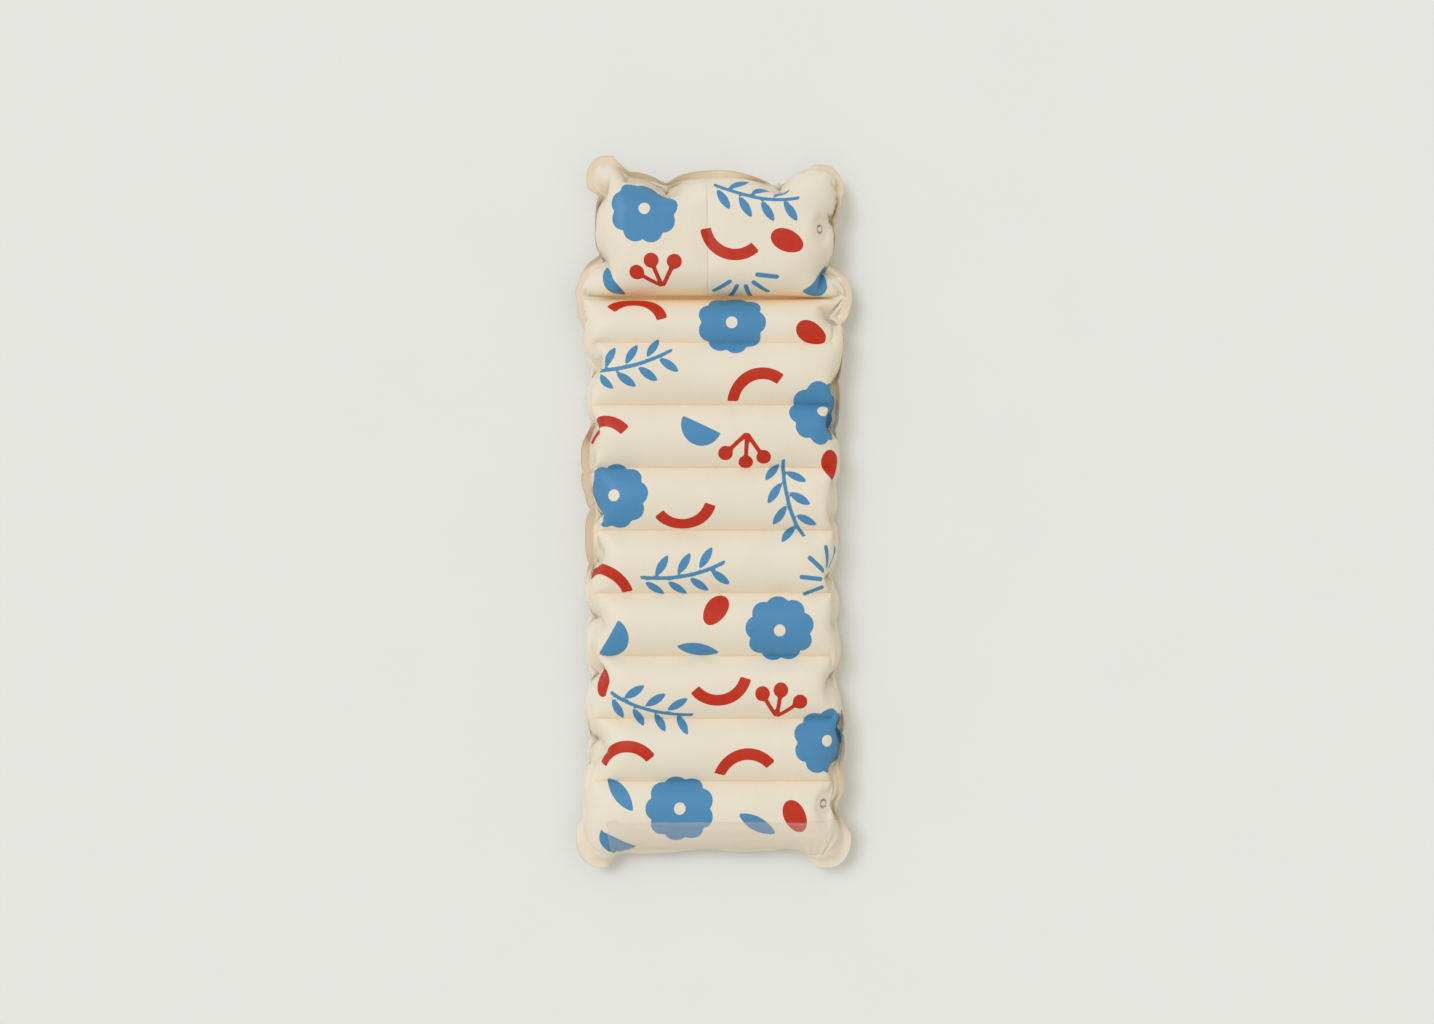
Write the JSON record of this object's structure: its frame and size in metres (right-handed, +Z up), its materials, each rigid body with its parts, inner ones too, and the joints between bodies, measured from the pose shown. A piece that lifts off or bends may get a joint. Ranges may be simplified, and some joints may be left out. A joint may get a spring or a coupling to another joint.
{
  "type": "inflatable pool mattress",
  "caption": "Inflatable pool mattress of cross tubes held by inner webs, with a fold-up pillow, a welded flange with rounded corner ears, and push-in air valves.",
  "frame": {"origin": "centre of the bounding box, on the surface that the mattress lies on", "axes": "+Y along the mattress towards the pillow, +X across it towards the side with the valves, +Z up"},
  "size_m": [0.7, 1.8152, 0.1523],
  "materials": {
    "cream_pvc": "matte",
    "web_film": "satin",
    "clear_film": "gloss",
    "clear_pvc": "satin"
  },
  "bodies": {
    "mattress": {"mattress_top_sheet": "cream_pvc", "mattress_bottom_sheet": "cream_pvc", "cross_web_1": "web_film", "cross_web_2": "web_film", "cross_web_3": "web_film", "cross_web_4": "web_film", "cross_web_5": "web_film", "cross_web_6": "web_film", "cross_web_7": "web_film", "cross_web_8": "web_film", "foot_end_film": "clear_film", "foot_valve_base": "clear_pvc", "foot_valve_cup": "clear_pvc"},
    "pillow": {"pillow_top_sheet": "cream_pvc", "pillow_bottom_sheet": "cream_pvc", "pillow_web": "web_film", "pillow_valve_base": "clear_pvc", "pillow_valve_cup": "clear_pvc"},
    "foot_valve": {"foot_valve_stem": "clear_pvc"},
    "foot_plug": {"foot_valve_plug": "clear_pvc"},
    "foot_flap": {"foot_valve_flap": "clear_pvc"},
    "pillow_valve": {"pillow_valve_stem": "clear_pvc"},
    "pillow_plug": {"pillow_valve_plug": "clear_pvc"},
    "pillow_flap": {"pillow_valve_flap": "clear_pvc"}
  },
  "joints": [
    {"name": "pillow_fold", "type": "hinge", "parent": "mattress", "child": "pillow", "pos_m": [0, 0.5455, 0.06365], "axis": [1, 0, 0], "range_deg": [0, 60]},
    {"name": "foot_valve_pull", "type": "slide", "parent": "mattress", "child": "foot_valve", "axis": [0.663, 0, 0.7486], "range_m": [0, 0.014], "deforming": ["foot_valve_cup"]},
    {"name": "foot_plug_strap", "type": "hinge", "parent": "foot_valve", "child": "foot_plug", "pos_m": [0.28286, -0.7355, 0.10125], "axis": [0, 1, 0], "range_deg": [0, 100]},
    {"name": "foot_flap_hinge", "type": "hinge", "parent": "foot_valve", "child": "foot_flap", "pos_m": [0.25958, -0.7355, 0.0979], "axis": [0, 1, 0], "range_deg": [0, 35], "stiffness_Nm_per_rad": 0.00003, "springref_deg": -17.19},
    {"name": "pillow_valve_pull", "type": "slide", "parent": "pillow", "child": "pillow_valve", "axis": [0.7749, 0, 0.632], "range_m": [0, 0.014], "deforming": ["pillow_valve_cup"]},
    {"name": "pillow_plug_strap", "type": "hinge", "parent": "pillow_valve", "child": "pillow_plug", "pos_m": [0.27127, 0.7105, 0.11548], "axis": [0, 1, 0], "range_deg": [0, 100]},
    {"name": "pillow_flap_hinge", "type": "hinge", "parent": "pillow_valve", "child": "pillow_flap", "pos_m": [0.24776, 0.7105, 0.11592], "axis": [0, 1, 0], "range_deg": [0, 35], "stiffness_Nm_per_rad": 0.00003, "springref_deg": -17.19}
  ]
}
